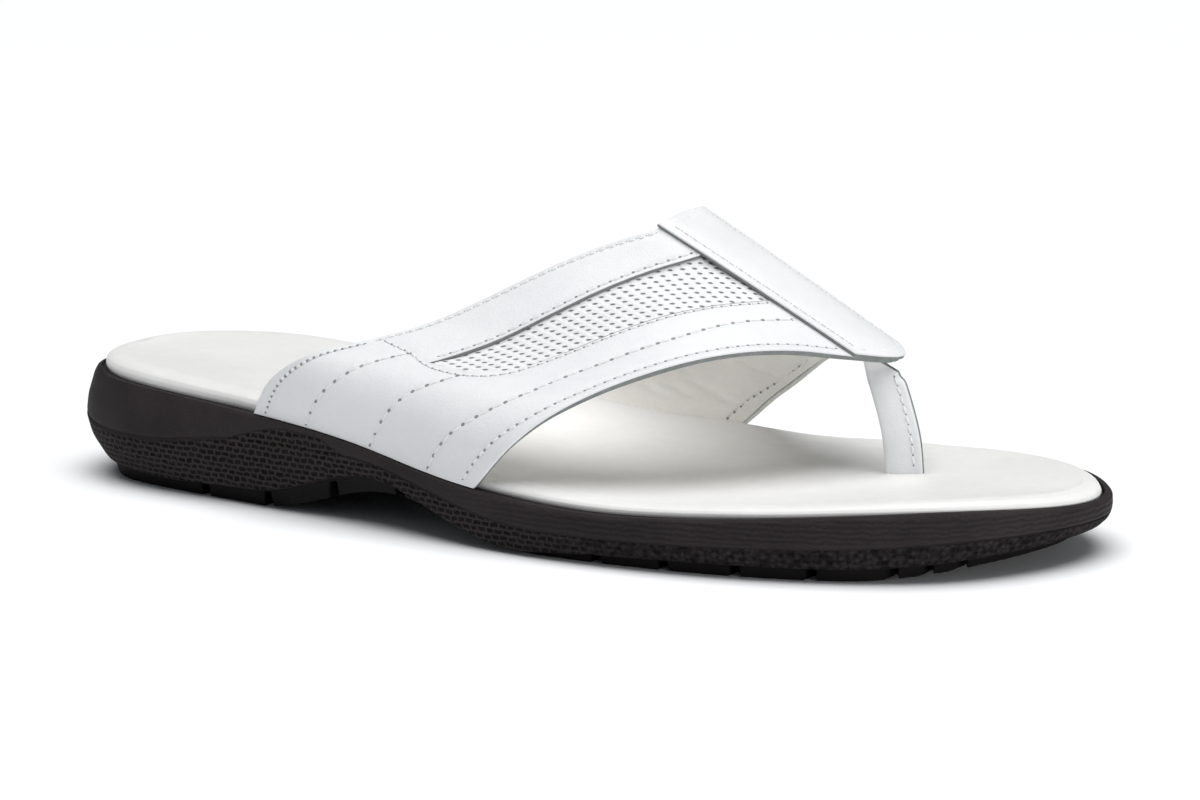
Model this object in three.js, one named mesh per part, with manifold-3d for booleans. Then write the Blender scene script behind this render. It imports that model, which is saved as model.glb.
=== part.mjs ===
import * as THREE from 'three';
import { mergeVertices } from 'three/addons/utils/BufferGeometryUtils.js';
import Module from 'manifold-3d';

// Thong sandal for the right foot, in millimetres.
// +X points to the toe, +Y to the inner side of the foot, +Z up, and the floor is z = 0.

// Driving sizes.
const soleLength = 286;
const gap = 0.3;
const upperWall = 2.0;
const strapThickness = 1.4;
const panelFaces = { inner: -1.9, outer: -0.7 };
const archRise = 9;
const archSpan = { start: -70, top: -26, end: 22 };
const toeSpring = { rise: 5, start: 96, power: 1.6 };
const heelBevel = { rise: 5, start: -120, power: 1.8 };
const bedThickness = { heel: 4.0, toe: 2.4 };
const seatEdge = { lip: 0.9, wall: 0.6 };
const bedDish = { heel: 1.6, toe: 1.2, reach: 36, steps: [0.25, 0.5, 0.75] };
const innerRise = { height: 2.2, start: -80, full: -20, fall: 20, end: 60, side: 40 };
const grooveWidth = 2.8;
const grooveReach = 140;
const grooveCutter = 10;
const grooveRows = [
  { first: -90, pitch: 22.4, count: 4, depth: 4.0 },
  { first: 38.3, pitch: 18.3, count: 5, depth: 3.0 },
  { first: 119.5, pitch: 7.5, count: 2, depth: 2.4 },
];
const postWidth = 9.6;
const postThickness = 3.2;
const postTurn = 10;
const postSides = 16;
const postSteps = 14;
const postRoundness = 0.45;
const postSlit = { low: 0, high: 60, clear: 0.45 };
const postTop = { ribs: 1, first: 0.6, second: 1.5, height: 14 };
const postFloor = { width: 40, height: 20 };
const aroundCount = 96;
const cells = {
  upper: { across: 72, along: 10 },
  window: { across: 24, along: 5 },
  strap: { across: 8, along: 14 },
  postTop: { across: 12, along: 8 },
};

// Stretches along the sole where the heel's, the toe's and the footbed's shapes fade in.
const heelFade = { start: -58, length: -50 };
const toeFade = { start: 104, length: 34 };
const bedFade = { start: -90, length: 140 };

// Sole plan, a row every 15 degrees from heel to toe with x = -length / 2 * cos(angle).
// outer and inner are the widest side lines, rim is the height of the top rim and
// margin is the distance from the widest line in to the edge of the footbed. sink is how far the
// footbed's seat lies below the rim, and roll is how much higher the rim is rollLine.reach further
// out. lug is the height of the lugs, and band is where the wall's two bands meet, as a share from
// lugs to rim.
const rollLine = { middle: 6, reach: 50 };
const soleRows = [
  { outer: 6.3, inner: 6.3, rim: 29.0, margin: 6.2, sink: 0.0, roll: -0.8, lug: 4.0, band: 0.45 },
  { outer: -13.2, inner: 25.3, rim: 28.8, margin: 5.6, sink: 0.0, roll: -0.8, lug: 4.2, band: 0.45 },
  { outer: -26.7, inner: 39.3, rim: 28.3, margin: 5.3, sink: 0.0, roll: -0.8, lug: 4.4, band: 0.45 },
  { outer: -33.7, inner: 45.8, rim: 27.3, margin: 4.6, sink: 0.0, roll: -0.8, lug: 3.4, band: 0.49 },
  { outer: -37.5, inner: 44.3, rim: 25.3, margin: 3.9, sink: 0.0, roll: -0.7, lug: 4.6, band: 0.68 },
  { outer: -43.7, inner: 42.4, rim: 21.8, margin: 3.4, sink: 0.0, roll: -0.3, lug: 5.0, band: 0.62 },
  { outer: -51.8, inner: 46.0, rim: 15.3, margin: 3.3, sink: 0.0, roll: 0.0, lug: 0.1, band: 0.58 },
  { outer: -55.9, inner: 53.6, rim: 12.7, margin: 3.3, sink: 0.0, roll: 0.0, lug: 2.6, band: 0.46 },
  { outer: -53.7, inner: 56.0, rim: 13.9, margin: 3.3, sink: 0.3, roll: 0.3, lug: 3.4, band: 0.42 },
  { outer: -45.4, inner: 52.7, rim: 15.6, margin: 3.1, sink: 0.9, roll: 0.8, lug: 3.4, band: 0.42 },
  { outer: -31.8, inner: 44.0, rim: 16.2, margin: 2.9, sink: 1.4, roll: 1.4, lug: 3.0, band: 0.42 },
  { outer: -10.0, inner: 29.0, rim: 15.0, margin: 2.8, sink: 1.6, roll: 1.4, lug: 2.4, band: 0.42 },
  { outer: 11.8, inner: 11.8, rim: 14.0, margin: 2.8, sink: 2.0, roll: 1.2, lug: 2.2, band: 0.42 },
];

// Side wall of the sole from rim to floor. Each height is a share of the way between two levels,
// and insets are distances in from the widest line.
const wallRows = [
  { from: 'line', to: 'rim', height: 1.00, heel: 3.2, fore: 0.7, toe: 0.6 },
  { from: 'line', to: 'rim', height: 0.88, heel: 2.4, fore: 0.2, toe: 0.1 },
  { from: 'line', to: 'rim', height: 0.40, heel: 0.7, fore: 0.0, toe: 0.0 },
  { from: 'line', to: 'rim', height: 0.06, heel: 0.2, fore: 0.1, toe: 0.2 },
  { from: 'line', to: 'rim', height: 0.00, heel: 0.6, fore: 0.5, toe: 0.6 },
  { from: 'lugs', to: 'line', height: 0.95, heel: 0.1, fore: 0.1, toe: 0.3 },
  { from: 'lugs', to: 'line', height: 0.50, heel: 1.3, fore: 0.5, toe: 1.0 },
  { from: 'lugs', to: 'line', height: 0.00, heel: 4.6, fore: 1.8, toe: 2.8 },
  { from: 'under', to: 'lugs', height: 0.90, heel: 7.0, fore: 4.6, toe: 8.6 },
  { from: 'under', to: 'lugs', height: 0.00, heel: 8.0, fore: 5.4, toe: 10.0 },
];

// Edge of the footbed from below to above: inset from its edge line and height share.
const bedRows = [
  { inset: 1.4, height: 0.00 },
  { inset: 0.2, height: 0.20 },
  { inset: 0.0, height: 0.45 },
  { inset: 0.5, height: 0.72 },
  { inset: 2.0, height: 0.93 },
  { inset: 4.5, height: 1.00 },
];

// Ribs of the strap wings from the outer base over the instep to the inner base.
// Each row is a straight rib on the outer face from the rear edge to the front edge, and crown
// lifts its middle.
const ribRows = [
  { rear: [-69.0, -37.5, 25.0], front: [5.0, -52.0, 16.3], crown: 0.0 },
  { rear: [-62.2, -40.2, 34.2], front: [14.9, -52.4, 26.4], crown: 0.6 },
  { rear: [-51.0, -39.0, 41.6], front: [24.0, -47.0, 34.1], crown: 0.2 },
  { rear: [-37.5, -32.8, 45.5], front: [32.6, -38.9, 39.5], crown: -0.6 },
  { rear: [-23.6, -25.3, 49.8], front: [41.8, -31.1, 43.5], crown: -0.4 },
  { rear: [-10.7, -18.3, 56.3], front: [51.3, -23.1, 46.5], crown: 0.4 },
  { rear: [2.0, -11.4, 63.4], front: [60.8, -14.0, 47.9], crown: 0.8 },
  { rear: [14.5, -3.8, 69.4], front: [69.8, -3.5, 47.3], crown: 0.6 },
  { rear: [26.8, 4.3, 73.8], front: [78.2, 7.2, 45.0], crown: 0.2 },
  { rear: [28.0, 14.2, 75.6], front: [86.4, 18.4, 43.3], crown: 0.0 },
  { rear: [28.8, 24.3, 76.0], front: [80.3, 28.1, 45.0], crown: 0.2 },
  { rear: [19.0, 29.2, 72.6], front: [75.0, 32.8, 44.6], crown: 0.8 },
  { rear: [8.0, 33.0, 67.8], front: [69.0, 36.6, 43.0], crown: 1.6 },
  { rear: [-3.5, 37.5, 62.3], front: [62.5, 40.6, 41.0], crown: 2.4 },
  { rear: [-15.0, 42.0, 56.0], front: [56.0, 44.0, 37.8], crown: 3.2 },
  { rear: [-26.5, 46.0, 49.5], front: [49.0, 46.6, 32.6], crown: 4.8 },
  { rear: [-38.0, 48.5, 42.5], front: [41.0, 48.6, 26.6], crown: 5.2 },
  { rear: [-48.0, 47.8, 34.0], front: [32.5, 50.2, 22.2], crown: 3.8 },
  { rear: [-56.0, 42.6, 24.0], front: [24.0, 49.6, 18.0], crown: 0.0 },
];
const strapRibs = { outer: 8, inner: 10, rear: -0.008, front: 1.012 };
const baseFade = 2;

// Windows in the wings: ribs at the strap end and at the rounded end, and their two edges
// as shares of the rib from the strap end to the rounded end. Over the last ribs, windowRound
// long, the lower edge rises until only the share windowClose of the height is left.
const windows = {
  panel_outer: { strapEnd: 8.15, roundEnd: 2.75 },
  panel_inner: { strapEnd: 9.85, roundEnd: 15.25 },
};
const windowEdges = { top: [0.215, 0.293, 0.347], bottom: [0.575, 0.605, 0.62] };
const windowRound = 0.7;
const windowClose = 0.45;

// Usual distance between ribs and length of a rib, for trims given in millimetres.
const ribSpacing = 11;
const ribReach = 62;

// Centre line of the toe post from the footbed up to the tip of the strap.
const postRows = [
  { at: [90.6, 12.4, 8.0] },
  { at: [90.6, 12.4, 17.0] },
  { at: [89.4, 13.0, 25.0] },
  { at: [86.0, 15.0, 33.5] },
  { at: [81.4, 17.4, 42.5] },
  { at: [79.0, 19.0, 48.0] },
];

const clamp01 = (t) => Math.min(1, Math.max(0, t));
const smooth = (t) => clamp01(t) ** 2 * (3 - 2 * clamp01(t));
const mix = (a, b, t) => a + (b - a) * t;
const fadeAt = (x, { start, length }) => smooth((x - start) / length);

// Cubic through evenly or unevenly spaced knots, with the slope at a knot taken from its neighbours.
function cubic(knots, values, t) {
  const last = knots.length - 1;
  const slope = (i) => {
    const a = Math.max(0, i - 1);
    const b = Math.min(last, i + 1);
    return (values[b] - values[a]) / (knots[b] - knots[a]);
  };
  let i = 0;
  while (i < last - 1 && t > knots[i + 1]) i += 1;
  const span = knots[i + 1] - knots[i];
  const s = (t - knots[i]) / span;
  const rise = values[i + 1] - values[i];
  const curve = slope(i) * span * s * (1 - s) ** 2 - slope(i + 1) * span * s * s * (1 - s);
  return values[i] + rise * s * s * (3 - 2 * s) + curve;
}

// Rows wrapped past both tips so that the plan stays round at heel and toe.
const rowStep = Math.PI / (soleRows.length - 1);
const rowColumns = ['rim', 'margin', 'sink', 'roll', 'lug', 'band'];
const wrapped = { angle: [], side: [], ...Object.fromEntries(rowColumns.map((column) => [column, []])) };
for (let k = 2 - soleRows.length - 2; k < soleRows.length + 2; k += 1) {
  const fold = Math.abs(k) < soleRows.length ? Math.abs(k) : 2 * soleRows.length - 2 - Math.abs(k);
  const onOuter = (k >= 0) === (Math.abs(k) < soleRows.length);
  wrapped.angle.push(k * rowStep);
  wrapped.side.push(onOuter ? soleRows[fold].outer : soleRows[fold].inner);
  for (const column of rowColumns) {
    wrapped[column].push(soleRows[fold][column]);
  }
}

const angleAt = (x) => Math.acos(Math.min(1, Math.max(-1, (-2 * x) / soleLength)));
const columnAt = (column, x) => cubic(wrapped.angle, wrapped[column], angleAt(x));
const rollAt = (p) => (columnAt('roll', p.x) * (rollLine.middle - p.y)) / rollLine.reach;
const rimAt = (p) => columnAt('rim', p.x) + rollAt(p);
const seatAt = (p) => rimAt(p) - Math.max(0, columnAt('sink', p.x));

function underAt(x) {
  const half = soleLength / 2;
  const toe = toeSpring.rise * clamp01((x - toeSpring.start) / (half - toeSpring.start)) ** toeSpring.power;
  const heel = heelBevel.rise * clamp01((heelBevel.start - x) / (half + heelBevel.start)) ** heelBevel.power;
  const intoArch = smooth((x - archSpan.start) / (archSpan.top - archSpan.start));
  const outOfArch = smooth((archSpan.end - x) / (archSpan.end - archSpan.top));
  return toe + heel + archRise * intoArch * outOfArch;
}

// Heights of the side wall at a plan point.
function wallLevels(p) {
  const under = underAt(p.x);
  const lugs = under + columnAt('lug', p.x);
  const rim = rimAt(p);
  return { under, lugs, line: mix(lugs, rim, columnAt('band', p.x)), rim };
}

// Plan point at an angle, moved in from the widest line along the plan normal.
// Positive angles run along the outer side and negative ones along the inner side.
function planPoint(angle, inset) {
  const at = (a) => new THREE.Vector2(-soleLength / 2 * Math.cos(a), cubic(wrapped.angle, wrapped.side, a));
  const d = 0.004;
  const tangent = at(angle + d).sub(at(angle - d)).normalize();
  return at(angle).add(new THREE.Vector2(-tangent.y, tangent.x).multiplyScalar(inset));
}

const marginAt = (angle) => cubic(wrapped.angle, wrapped.margin, angle);
const angles = Array.from({ length: aroundCount }, (_, k) => -Math.PI + (2 * Math.PI * k) / aroundCount);

// Closed solid from a stack of rings, with each end closed by a strip between the two sides.
function loft(rings) {
  const count = rings[0].length;
  const position = rings.flat().flatMap((p) => [p.x, p.y, p.z]);
  const index = [];
  for (let r = 0; r + 1 < rings.length; r += 1) {
    for (let k = 0; k < count; k += 1) {
      const a = r * count + k;
      const b = r * count + ((k + 1) % count);
      index.push(a, b, b + count, a, b + count, a + count);
    }
  }
  const close = (start, flip) => {
    for (let k = 0; k < count / 2; k += 1) {
      const corners = [k, k + 1, (count - k - 1) % count, (count - k) % count].map((c) => start + c);
      const [a, b, c, d] = flip ? corners.reverse() : corners;
      if (b !== c) index.push(a, b, c);
      if (a !== d && c !== d) index.push(a, c, d);
    }
  };
  close(0, true);
  close((rings.length - 1) * count, false);
  return solid(position, index);
}

function solid(position, index) {
  const geometry = new THREE.BufferGeometry();
  geometry.setAttribute('position', new THREE.Float32BufferAttribute(position, 3));
  geometry.setIndex(index.filter((_, i) => {
    const t = i - (i % 3);
    return index[t] !== index[t + 1] && index[t + 1] !== index[t + 2] && index[t] !== index[t + 2];
  }));
  return geometry;
}

const wasm = await Module();
wasm.setup();

function toManifold(geometry) {
  const bare = new THREE.BufferGeometry();
  bare.setAttribute('position', geometry.getAttribute('position').clone());
  bare.setIndex(geometry.index ? geometry.index.clone() : null);
  const merged = mergeVertices(bare, 1e-4);
  return new wasm.Manifold(new wasm.Mesh({
    numProp: 3,
    vertProperties: new Float32Array(merged.getAttribute('position').array),
    triVerts: new Uint32Array(merged.index.array),
  }));
}

function toGeometry(body) {
  const mesh = body.getMesh();
  return solid(Array.from(mesh.vertProperties), Array.from(mesh.triVerts));
}

// Sole: rings from the rim down to the floor, then cross grooves between the lugs.
function wallRing(row) {
  return angles.map((angle) => {
    const middle = planPoint(angle, 0);
    const foreInset = mix(row.fore, row.toe, fadeAt(middle.x, toeFade));
    const inset = mix(foreInset, row.heel, fadeAt(middle.x, heelFade));
    const p = planPoint(angle, inset);
    const levels = wallLevels(p);
    return new THREE.Vector3(p.x, p.y, mix(levels[row.from], levels[row.to], row.height));
  });
}

// Seat of the footbed inside the rim, a little outside the footbed's edge.
function seatRing(reach, heightAt) {
  return angles.map((angle) => {
    const p = planPoint(angle, marginAt(angle) - reach);
    return new THREE.Vector3(p.x, p.y, heightAt(p));
  });
}

function makeOutsole() {
  const seat = [seatRing(seatEdge.lip, rimAt), seatRing(seatEdge.wall, seatAt)];
  let body = toManifold(loft([...wallRows.map(wallRing).reverse(), ...seat]));
  for (const { first, pitch, count, depth } of grooveRows) {
    for (let k = 0; k < count; k += 1) {
      const at = first + k * pitch;
      const bar = new THREE.BoxGeometry(grooveWidth, grooveReach, grooveCutter);
      bar.translate(at, 0, underAt(at) + depth - grooveCutter / 2);
      body = body.subtract(toManifold(bar));
    }
  }
  return body;
}

// The footbed is thicker under the inner arch.
function riseAt(p) {
  const up = smooth((p.x - innerRise.start) / (innerRise.full - innerRise.start));
  const down = smooth((innerRise.end - p.x) / (innerRise.end - innerRise.fall));
  return innerRise.height * up * down * smooth(p.y / innerRise.side);
}

// Footbed: a cushion on its seat with a rolled edge and a shallow dish.
function bedRing(inset, share, dishShare, grow) {
  return angles.map((angle) => {
    const edge = planPoint(angle, marginAt(angle) + inset - grow);
    const mate = planPoint(-angle, marginAt(angle) + inset - grow);
    const p = edge.clone().lerp(edge.clone().add(mate).multiplyScalar(0.5), dishShare);
    const toeShare = fadeAt(p.x, bedFade);
    const height = share * (mix(bedThickness.heel, bedThickness.toe, toeShare) + riseAt(p));
    const reach = clamp01(p.distanceTo(edge) / bedDish.reach);
    const dish = mix(bedDish.heel, bedDish.toe, toeShare) * (1 - (1 - reach) ** 2);
    return new THREE.Vector3(p.x, p.y, seatAt(p) + gap + height - dish + grow * (2 * share - 1));
  });
}

function postSection(k, turn, grow) {
  const a = (2 * Math.PI * k) / postSides;
  const round = (c) => Math.sign(c) * Math.abs(c) ** postRoundness;
  const along = (postWidth / 2 + grow) * round(Math.cos(a));
  const across = (postThickness / 2 + grow) * round(Math.sin(a));
  const point = new THREE.Vector2(along, across);
  return point.rotateAround(new THREE.Vector2(), THREE.MathUtils.degToRad(turn));
}

function postRing(centre, grow) {
  return Array.from({ length: postSides }, (_, k) => {
    const p = postSection(k, postTurn, grow);
    return new THREE.Vector3(centre.x + p.x, centre.y + p.y, centre.z);
  });
}

function bedBody(grow) {
  const rows = bedRows.map((row) => bedRing(row.inset, row.height, 0, grow));
  const dished = bedDish.steps.map((share) => bedRing(bedRows.at(-1).inset, 1, share, grow));
  return toManifold(loft([...rows, ...dished]));
}

function makeFootbed() {
  const foot = new THREE.Vector3(...postRows[0].at);
  const slitRing = (z) => postRing(new THREE.Vector3(foot.x, foot.y, z), postSlit.clear);
  const slit = [postSlit.low, postSlit.high].map(slitRing);
  return bedBody(0).subtract(toManifold(loft(slit)));
}

// Wing surface: rib position along the instep (0 at the outer base), share from rear to front.
const ribKnots = ribRows.map((_, i) => i);
function ribKnotLengths() {
  const knots = [0];
  const corner = (i, end) => new THREE.Vector3(...ribRows[i][end]);
  for (let i = 1; i < ribRows.length; i += 1) {
    const step = (end) => corner(i, end).distanceTo(corner(i - 1, end));
    knots.push(knots[i - 1] + (step('rear') + step('front')) / 2);
  }
  return knots;
}
const ribLengths = ribKnotLengths();
const ribColumn = (end, axis) => ribRows.map((row) => row[end][axis]);
const columns = {
  rear: [0, 1, 2].map((axis) => ribColumn('rear', axis)),
  front: [0, 1, 2].map((axis) => ribColumn('front', axis)),
  crown: ribRows.map((row) => row.crown),
};

function ruledPoint(rib, share) {
  const length = mixKnot(rib);
  const at = [0, 1, 2].map((axis) => mix(
    cubic(ribLengths, columns.rear[axis], length),
    cubic(ribLengths, columns.front[axis], length),
    share,
  ));
  return new THREE.Vector3(...at);
}

function mixKnot(rib) {
  const i = Math.min(ribRows.length - 2, Math.max(0, Math.floor(rib)));
  return mix(ribLengths[i], ribLengths[i + 1], rib - i);
}

function normalOf(surface, rib, share) {
  const d = 0.01;
  const low = Math.max(0, rib - d);
  const high = Math.min(ribRows.length - 1, rib + d);
  const across = surface(high, share).sub(surface(low, share));
  const along = surface(rib, share + d).sub(surface(rib, share - d));
  return along.cross(across).normalize();
}

// The base of each wing stands on the rim, just outside the edge of the footbed.
function basePoint(rib, share) {
  const outer = rib < ribRows.length / 2;
  const row = outer ? ribRows[0] : ribRows.at(-1);
  const x = mix(row.rear[0], row.front[0], share);
  const angle = angleAt(x) * (outer ? 1 : -1);
  const p = planPoint(angle, marginAt(angle) - gap - upperWall);
  return new THREE.Vector3(p.x, p.y, rimAt(p) + gap);
}

function baseShare(rib) {
  return 1 - smooth(Math.min(rib, ribRows.length - 1 - rib) / baseFade);
}

function wingPoint(rib, share) {
  const last = ribRows.length - 1;
  const point = ruledPoint(rib, share);
  const lift = 4 * clamp01(share) * (1 - clamp01(share)) * cubic(ribKnots, columns.crown, rib);
  point.addScaledVector(normalOf(ruledPoint, rib, share), lift);
  const base = basePoint(rib, share).sub(ruledPoint(rib < last / 2 ? 0 : last, share));
  return point.addScaledVector(base, baseShare(rib));
}

function wingOffset(rib, share, offset) {
  const normal = normalOf(wingPoint, rib, share);
  normal.z *= 1 - baseShare(rib);
  return wingPoint(rib, share).addScaledVector(normal.normalize(), offset);
}

// Closed patch of the wing surface between two offsets. The two edges are functions of the rib.
function patch({ from, to, first, second, inner, outer, across, along }) {
  const position = [];
  for (const offset of [inner, outer]) {
    for (let i = 0; i <= across; i += 1) {
      const rib = mix(from, to, i / across);
      for (let j = 0; j <= along; j += 1) {
        const p = wingOffset(rib, mix(first(rib), second(rib), j / along), offset);
        position.push(p.x, p.y, p.z);
      }
    }
  }
  const index = [];
  const half = (across + 1) * (along + 1);
  const id = (i, j, side) => side * half + i * (along + 1) + j;
  const quad = (a, b, c, d) => index.push(a, b, c, a, c, d);
  for (let i = 0; i < across; i += 1) {
    for (let j = 0; j < along; j += 1) {
      quad(id(i, j, 1), id(i, j + 1, 1), id(i + 1, j + 1, 1), id(i + 1, j, 1));
      quad(id(i, j, 0), id(i + 1, j, 0), id(i + 1, j + 1, 0), id(i, j + 1, 0));
    }
  }
  for (let i = 0; i < across; i += 1) {
    quad(id(i, 0, 0), id(i, 0, 1), id(i + 1, 0, 1), id(i + 1, 0, 0));
    quad(id(i, along, 0), id(i + 1, along, 0), id(i + 1, along, 1), id(i, along, 1));
  }
  for (let j = 0; j < along; j += 1) {
    quad(id(0, j, 0), id(0, j + 1, 0), id(0, j + 1, 1), id(0, j, 1));
    quad(id(across, j, 0), id(across, j, 1), id(across, j + 1, 1), id(across, j + 1, 0));
  }
  return toManifold(solid(position, index));
}

// Window or panel between its two edges, rounded at the end away from the strap.
function windowPatch({ strapEnd, roundEnd }, trim, inner, outer) {
  const turn = Math.sign(roundEnd - strapEnd);
  const trimRib = trim / ribSpacing;
  const trimShare = trim / ribReach;
  const end = roundEnd - turn * trimRib;
  const edge = (rib, line) => cubic([0, 0.5, 1], line, (rib - strapEnd) / (roundEnd - strapEnd));
  const open = (rib) => {
    const t = clamp01(Math.abs(end - rib) / windowRound);
    return windowClose + (1 - windowClose) * Math.sqrt(1 - (1 - t) ** 2);
  };
  const first = (rib) => edge(rib, windowEdges.top) + trimShare;
  const second = (rib) => {
    const top = edge(rib, windowEdges.top);
    return mix(top, edge(rib, windowEdges.bottom), open(rib)) - trimShare;
  };
  const start = strapEnd + turn * trimRib;
  const [from, to] = turn > 0 ? [start, end] : [end, start];
  return patch({ from, to, first, second, inner, outer, ...cells.window });
}

function makeUpper() {
  let body = patch({
    from: 0, to: ribRows.length - 1, first: () => 0, second: () => 1,
    inner: -upperWall, outer: 0, ...cells.upper,
  });
  for (const window of Object.values(windows)) {
    body = body.subtract(windowPatch(window, 0, -upperWall * 2, upperWall));
  }
  return body.subtract(bedBody(gap));
}

function makeStrap() {
  return patch({
    from: strapRibs.outer, to: strapRibs.inner, first: () => strapRibs.rear, second: () => strapRibs.front,
    inner: gap, outer: gap + strapThickness, ...cells.strap,
  });
}

function makePost() {
  const line = new THREE.CatmullRomCurve3(postRows.map((row) => new THREE.Vector3(...row.at)));
  const foot = new THREE.Vector3(...postRows[0].at);
  const rings = line.getSpacedPoints(postSteps).map((point) => postRing(point, 0));
  const above = patch({
    from: strapRibs.outer - postTop.ribs, to: strapRibs.inner + postTop.ribs,
    first: () => postTop.first, second: () => postTop.second,
    inner: -upperWall - gap, outer: postTop.height, ...cells.postTop,
  });
  const floor = new THREE.BoxGeometry(postFloor.width, postFloor.width, postFloor.height);
  floor.translate(foot.x, foot.y, seatAt(foot) + gap - postFloor.height / 2);
  return toManifold(loft(rings)).subtract(above).subtract(toManifold(floor));
}

const looks = {
  outsole: { color: 0x262525, roughness: 0.75, metalness: 0 },
  footbed: { color: 0xe9e8e6, roughness: 0.5, metalness: 0 },
  upper: { color: 0xeeeeee, roughness: 0.45, metalness: 0 },
  centre_strap: { color: 0xf0f0f0, roughness: 0.45, metalness: 0 },
  panel_outer: { color: 0xdededc, roughness: 0.55, metalness: 0 },
  panel_inner: { color: 0xdededc, roughness: 0.55, metalness: 0 },
  toe_post: { color: 0xe6e7e4, roughness: 0.45, metalness: 0 },
};

const bodies = {
  outsole: makeOutsole(),
  footbed: makeFootbed(),
  upper: makeUpper(),
  centre_strap: makeStrap(),
  panel_outer: windowPatch(windows.panel_outer, gap, panelFaces.inner, panelFaces.outer),
  panel_inner: windowPatch(windows.panel_inner, gap, panelFaces.inner, panelFaces.outer),
  toe_post: makePost(),
};

const group = new THREE.Group();
for (const [name, body] of Object.entries(bodies)) {
  const mesh = new THREE.Mesh(toGeometry(body), new THREE.MeshStandardMaterial(looks[name]));
  mesh.name = name;
  group.add(mesh);
}

export default group;
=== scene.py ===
import math
import bpy
import numpy as np
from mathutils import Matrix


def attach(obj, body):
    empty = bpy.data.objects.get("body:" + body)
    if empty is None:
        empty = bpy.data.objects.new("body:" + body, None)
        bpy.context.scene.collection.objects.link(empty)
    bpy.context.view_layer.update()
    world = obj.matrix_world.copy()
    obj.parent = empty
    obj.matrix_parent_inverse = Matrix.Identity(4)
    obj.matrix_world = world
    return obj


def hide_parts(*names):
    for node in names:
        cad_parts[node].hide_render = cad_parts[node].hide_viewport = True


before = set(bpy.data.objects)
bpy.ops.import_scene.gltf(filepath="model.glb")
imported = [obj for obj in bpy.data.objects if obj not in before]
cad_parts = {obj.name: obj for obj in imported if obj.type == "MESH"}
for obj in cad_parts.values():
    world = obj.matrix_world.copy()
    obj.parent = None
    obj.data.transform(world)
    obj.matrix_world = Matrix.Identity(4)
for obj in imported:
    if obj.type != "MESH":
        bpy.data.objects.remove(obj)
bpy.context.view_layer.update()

mm = 0.001  # sizes below are in millimetres, meshes are in metres
scene = bpy.context.scene


# small maths

def smoothStep(t):  # eases from 0 to 1 with flat ends
    t = np.clip(t, 0.0, 1.0)
    return t * t * (3.0 - 2.0 * t)


def fade(x, start, reach):  # 0 before the start, 1 after the reach
    return smoothStep((x - start) / reach)


def between(a, b, t):
    return a + (b - a) * t


def cubicLine(knots, values, t):
    # cubic through the knots, with slopes from each knot's two neighbours
    knots, values, t = (np.asarray(v, float) for v in (knots, values, t))
    last = len(knots) - 1
    low = np.maximum(np.arange(last + 1) - 1, 0)
    high = np.minimum(np.arange(last + 1) + 1, last)
    slope = (values[high] - values[low]) / (knots[high] - knots[low])
    i = np.clip(np.searchsorted(knots, t, side="left") - 1, 0, last - 1)
    span = knots[i + 1] - knots[i]
    s = (t - knots[i]) / span
    curve = slope[i] * span * s * (1 - s) ** 2 - slope[i + 1] * span * s * s * (1 - s)
    return values[i] + (values[i + 1] - values[i]) * s * s * (3 - 2 * s) + curve


def unit(v):
    return v / np.maximum(np.linalg.norm(v, axis=-1, keepdims=True), 1e-9)


def softNoise(x, y, size, seed, waves=6):
    # sum of a few slow sine waves in seeded directions, about -1 to 1
    rng = np.random.default_rng(seed)
    total = 0.0
    for k in range(waves):
        turn, phase = rng.uniform(0, 2 * math.pi, 2)
        wave = 2 * math.pi / (size * rng.uniform(0.7, 1.6))
        total = total + np.sin(wave * (x * math.cos(turn) + y * math.sin(turn)) + phase)
    return total / waves


def runAlong(points):  # length along a line of points, from 0
    return np.concatenate([[0], np.cumsum(np.linalg.norm(np.diff(points, axis=0), axis=1))])


soften = ((-1, 0.25), (0, 0.5), (1, 0.25))  # weights of an average over neighbours


def mates(count):  # each ring point's partner across the middle line
    return (count - np.arange(count)) % count


# mesh builders

def addObject(name, data):
    thing = bpy.data.objects.new(name, data)
    scene.collection.objects.link(thing)
    return thing


def makePiece(name, points, quads, finishes, slotName, kind=None, uv=None, bands=None, sharp=40):
    # points in mm, kind is each quad's finish; unused vertices go, edges past the sharp angle stay crisp
    used, quads = np.unique(quads, return_inverse=True)
    quads = quads.reshape(-1, 4)
    points = np.asarray(points, float).reshape(-1, 3)[used] * mm
    mesh = bpy.data.meshes.new(name)
    mesh.vertices.add(len(points))
    mesh.vertices.foreach_set("co", points.ravel())
    mesh.loops.add(quads.size)
    mesh.loops.foreach_set("vertex_index", quads.ravel().astype(np.int32))
    mesh.polygons.add(len(quads))
    mesh.polygons.foreach_set("loop_start", np.arange(len(quads), dtype=np.int32) * 4)
    mesh.polygons.foreach_set("use_smooth", np.ones(len(quads), bool))
    if kind is not None:
        mesh.polygons.foreach_set("material_index", np.asarray(kind, np.int32))
    if uv is not None:
        mesh.uv_layers.new(name="UVMap").data.foreach_set("uv", np.asarray(uv, float).ravel())
    for key, values in (bands or {}).items():
        layer = mesh.attributes.new(key, "FLOAT", "POINT")
        layer.data.foreach_set("value", np.asarray(values, float).ravel()[used])
    mesh.update(calc_edges=True)
    mesh.validate()
    mesh.set_sharp_from_angle(angle=math.radians(sharp))
    for finish in finishes:
        mesh.materials.append(finish)
    piece = addObject(name, mesh)
    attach(piece, "root")
    return piece


def cellCorners(grid):  # four corners of every cell
    return np.stack([grid[:-1, :-1], grid[:-1, 1:], grid[1:, 1:], grid[1:, :-1]], axis=2)


def tubeQuads(number):  # quads between closed rows
    return cellCorners(np.concatenate([number, number[:, :1]], axis=1)).reshape(-1, 4)


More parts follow.
